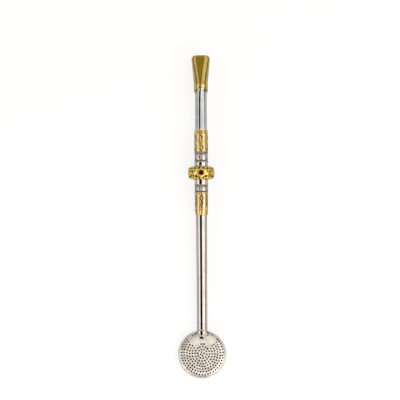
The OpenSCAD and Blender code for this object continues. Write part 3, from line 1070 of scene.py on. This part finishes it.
# The photograph's frame, in pixels, and what one pixel spans on the object
PIXELS = 400
PIXEL = 0.617 * MM
AIM = Vector((-1.08, 95.23, STEM_Z)) * MM
LEAN = math.radians(-0.31)
LENS = 290.0
SENSOR = 36.0
# Place along the stem that the camera stands over
CAMERA_OVER = 60 * MM

# Where the object touches what it lies on
STRAINER_HEEL = Vector((0, -PLATE_FLAT, 0)) * MM
RING_FOOT = Vector((0, RING_MIDDLE, -4.45)) * MM


def white_paper():
    """White floor that keeps a faint shadow, deep right under the object, and looks as white in the
    metal as it does directly."""
    material, tree, shader = new_finish("white_paper")
    shader.inputs["Base Color"].default_value = (0.9, 0.9, 0.9, 1)
    shader.inputs["Roughness"].default_value = 0.9
    glow = tree.nodes.new("ShaderNodeEmission")
    glow.inputs["Strength"].default_value = 1.04
    rays = tree.nodes.new("ShaderNodeLightPath")
    seen = rays.outputs["Is Camera Ray"]
    for kind in ("Is Glossy Ray", "Is Transmission Ray"):
        either = add_node(tree, "ShaderNodeMath", operation="MAXIMUM")
        tree.links.new(seen, either.inputs[0])
        tree.links.new(rays.outputs[kind], either.inputs[1])
        seen = either.outputs["Value"]
    open_sky = add_node(tree, "ShaderNodeAmbientOcclusion", samples=8)
    open_sky.inputs["Distance"].default_value = 2.5 * MM
    lit = spread(tree, open_sky.outputs["AO"], 0, 1, 0, 0.75)
    share = add_node(tree, "ShaderNodeMath", operation="MULTIPLY")
    tree.links.new(lit, share.inputs[1])
    tree.links.new(seen, share.inputs[0])
    mixed = tree.nodes.new("ShaderNodeMixShader")
    tree.links.new(share.outputs["Value"], mixed.inputs["Fac"])
    tree.links.new(shader.outputs["BSDF"], mixed.inputs[1])
    tree.links.new(glow.outputs["Emission"], mixed.inputs[2])
    tree.links.new(mixed.outputs["Shader"], tree.nodes["Material Output"].inputs["Surface"])
    return material


def lay_floor():
    fall = math.atan2(STRAINER_HEEL.z - RING_FOOT.z, RING_FOOT.y - STRAINER_HEEL.y)
    bpy.ops.mesh.primitive_plane_add(size=8, location=STRAINER_HEEL, rotation=(-fall, 0, 0))
    floor = bpy.context.object
    floor.name = "floor"
    floor.data.materials.append(white_paper())


def softbox(name, centre, target, size, radiance, colour):
    light = bpy.data.lights.new(name, "AREA")
    light.shape = "RECTANGLE"
    light.size, light.size_y = size
    light.energy = radiance * math.pi * size[0] * size[1]
    light.color = colour
    lamp = bpy.data.objects.new(name, light)
    lamp.location = centre
    lamp.rotation_euler = (centre - target).to_track_quat("Z", "Y").to_euler()
    lamp.visible_camera = False
    bpy.context.scene.collection.objects.link(lamp)


def side_softbox(name, stretch, angles, radiance, colour):
    """Softbox along a stretch of the stem, between two angles in degrees from straight overhead."""
    reach = 0.82
    middle = math.radians(sum(angles) / 2)
    half = math.radians(angles[1] - angles[0]) / 2
    target = Vector((0, sum(stretch) / 2, 0))
    centre = target + reach * Vector((math.sin(middle), 0, math.cos(middle)))
    softbox(name, centre, target, (stretch[1] - stretch[0], 2 * reach * math.tan(half)), radiance, colour)


def overhead_panel(name, stretch, width, radiance, colour):
    height = 0.86
    centre = Vector((0, sum(stretch) / 2, height))
    softbox(name, centre, centre - Vector((0, 0, 1)), (width, stretch[1] - stretch[0]), radiance, colour)


WARM = (1, 0.95, 0.91)
NEUTRAL = (1, 0.985, 0.97)
COOL = (0.98, 1, 1)
OLIVE = (1, 0.78, 0.2)


def light_studio():
    """Softboxes on both sides, a pair to each stretch of the stem, leave a dark gap overhead, a little
    to the left. A panel lights the strainer's face, and a dim card the mouthpiece's."""
    lower, upper, socket, mouth = (-1.1, 0.165), (0.165, 0.2085), (0.2085, 0.222), (0.222, 1.5)
    side_softbox("left_lower_softbox", lower, (-72, -36), 1.65, WARM)
    side_softbox("right_lower_softbox", lower, (9, 70), 1.85, NEUTRAL)
    side_softbox("left_upper_softbox", upper, (-72, -42), 1.0, COOL)
    side_softbox("right_upper_softbox", upper, (-13, 70), 1.35, COOL)
    side_softbox("left_socket_softbox", socket, (-60, -25), 2.4, WARM)
    side_softbox("right_socket_softbox", socket, (8, 60), 3.2, NEUTRAL)
    side_softbox("left_mouth_softbox", mouth, (-56, -25), 0.85, NEUTRAL)
    side_softbox("right_mouth_softbox", mouth, (8, 56), 1.0, NEUTRAL)
    overhead_panel("strainer_panel", (-0.75, -0.08), 0.6, 1.85, NEUTRAL)
    side_softbox("olive_card", (socket[0], mouth[1]), (-24, 7), 0.42, OLIVE)
    light_world()


def light_world():
    """Black overhead, so that the gap between the softboxes stays dark, and grey lower down."""
    grey, black = 0.28, 0.004
    grey_below, black_above = 0.5, 0.85
    world = bpy.data.worlds.new("studio")
    bpy.context.scene.world = world
    world.use_nodes = True
    tree = world.node_tree
    direction = tree.nodes.new("ShaderNodeTexCoord").outputs["Generated"]
    split = tree.nodes.new("ShaderNodeSeparateXYZ")
    tree.links.new(direction, split.inputs["Vector"])
    level = spread(tree, split.outputs["Z"], grey_below, black_above, grey, black)
    tree.links.new(level, tree.nodes["Background"].inputs["Strength"])
    tree.nodes["Background"].inputs["Color"].default_value = (1, 1, 1, 1)


def aim_camera():
    camera = bpy.data.objects.new("camera", bpy.data.cameras.new("camera"))
    camera.data.lens = LENS
    camera.data.sensor_width = SENSOR
    distance = LENS / SENSOR * PIXELS * PIXEL
    camera.location = (AIM.x, CAMERA_OVER, AIM.z + distance)
    camera.rotation_euler = (math.atan2(AIM.y - CAMERA_OVER, distance), 0, LEAN)
    bpy.context.scene.collection.objects.link(camera)
    bpy.context.scene.camera = camera


bpy.ops.object.select_all(action="DESELECT")
lay_floor()
light_studio()
aim_camera()
bpy.context.scene.view_settings.view_transform = "Standard"
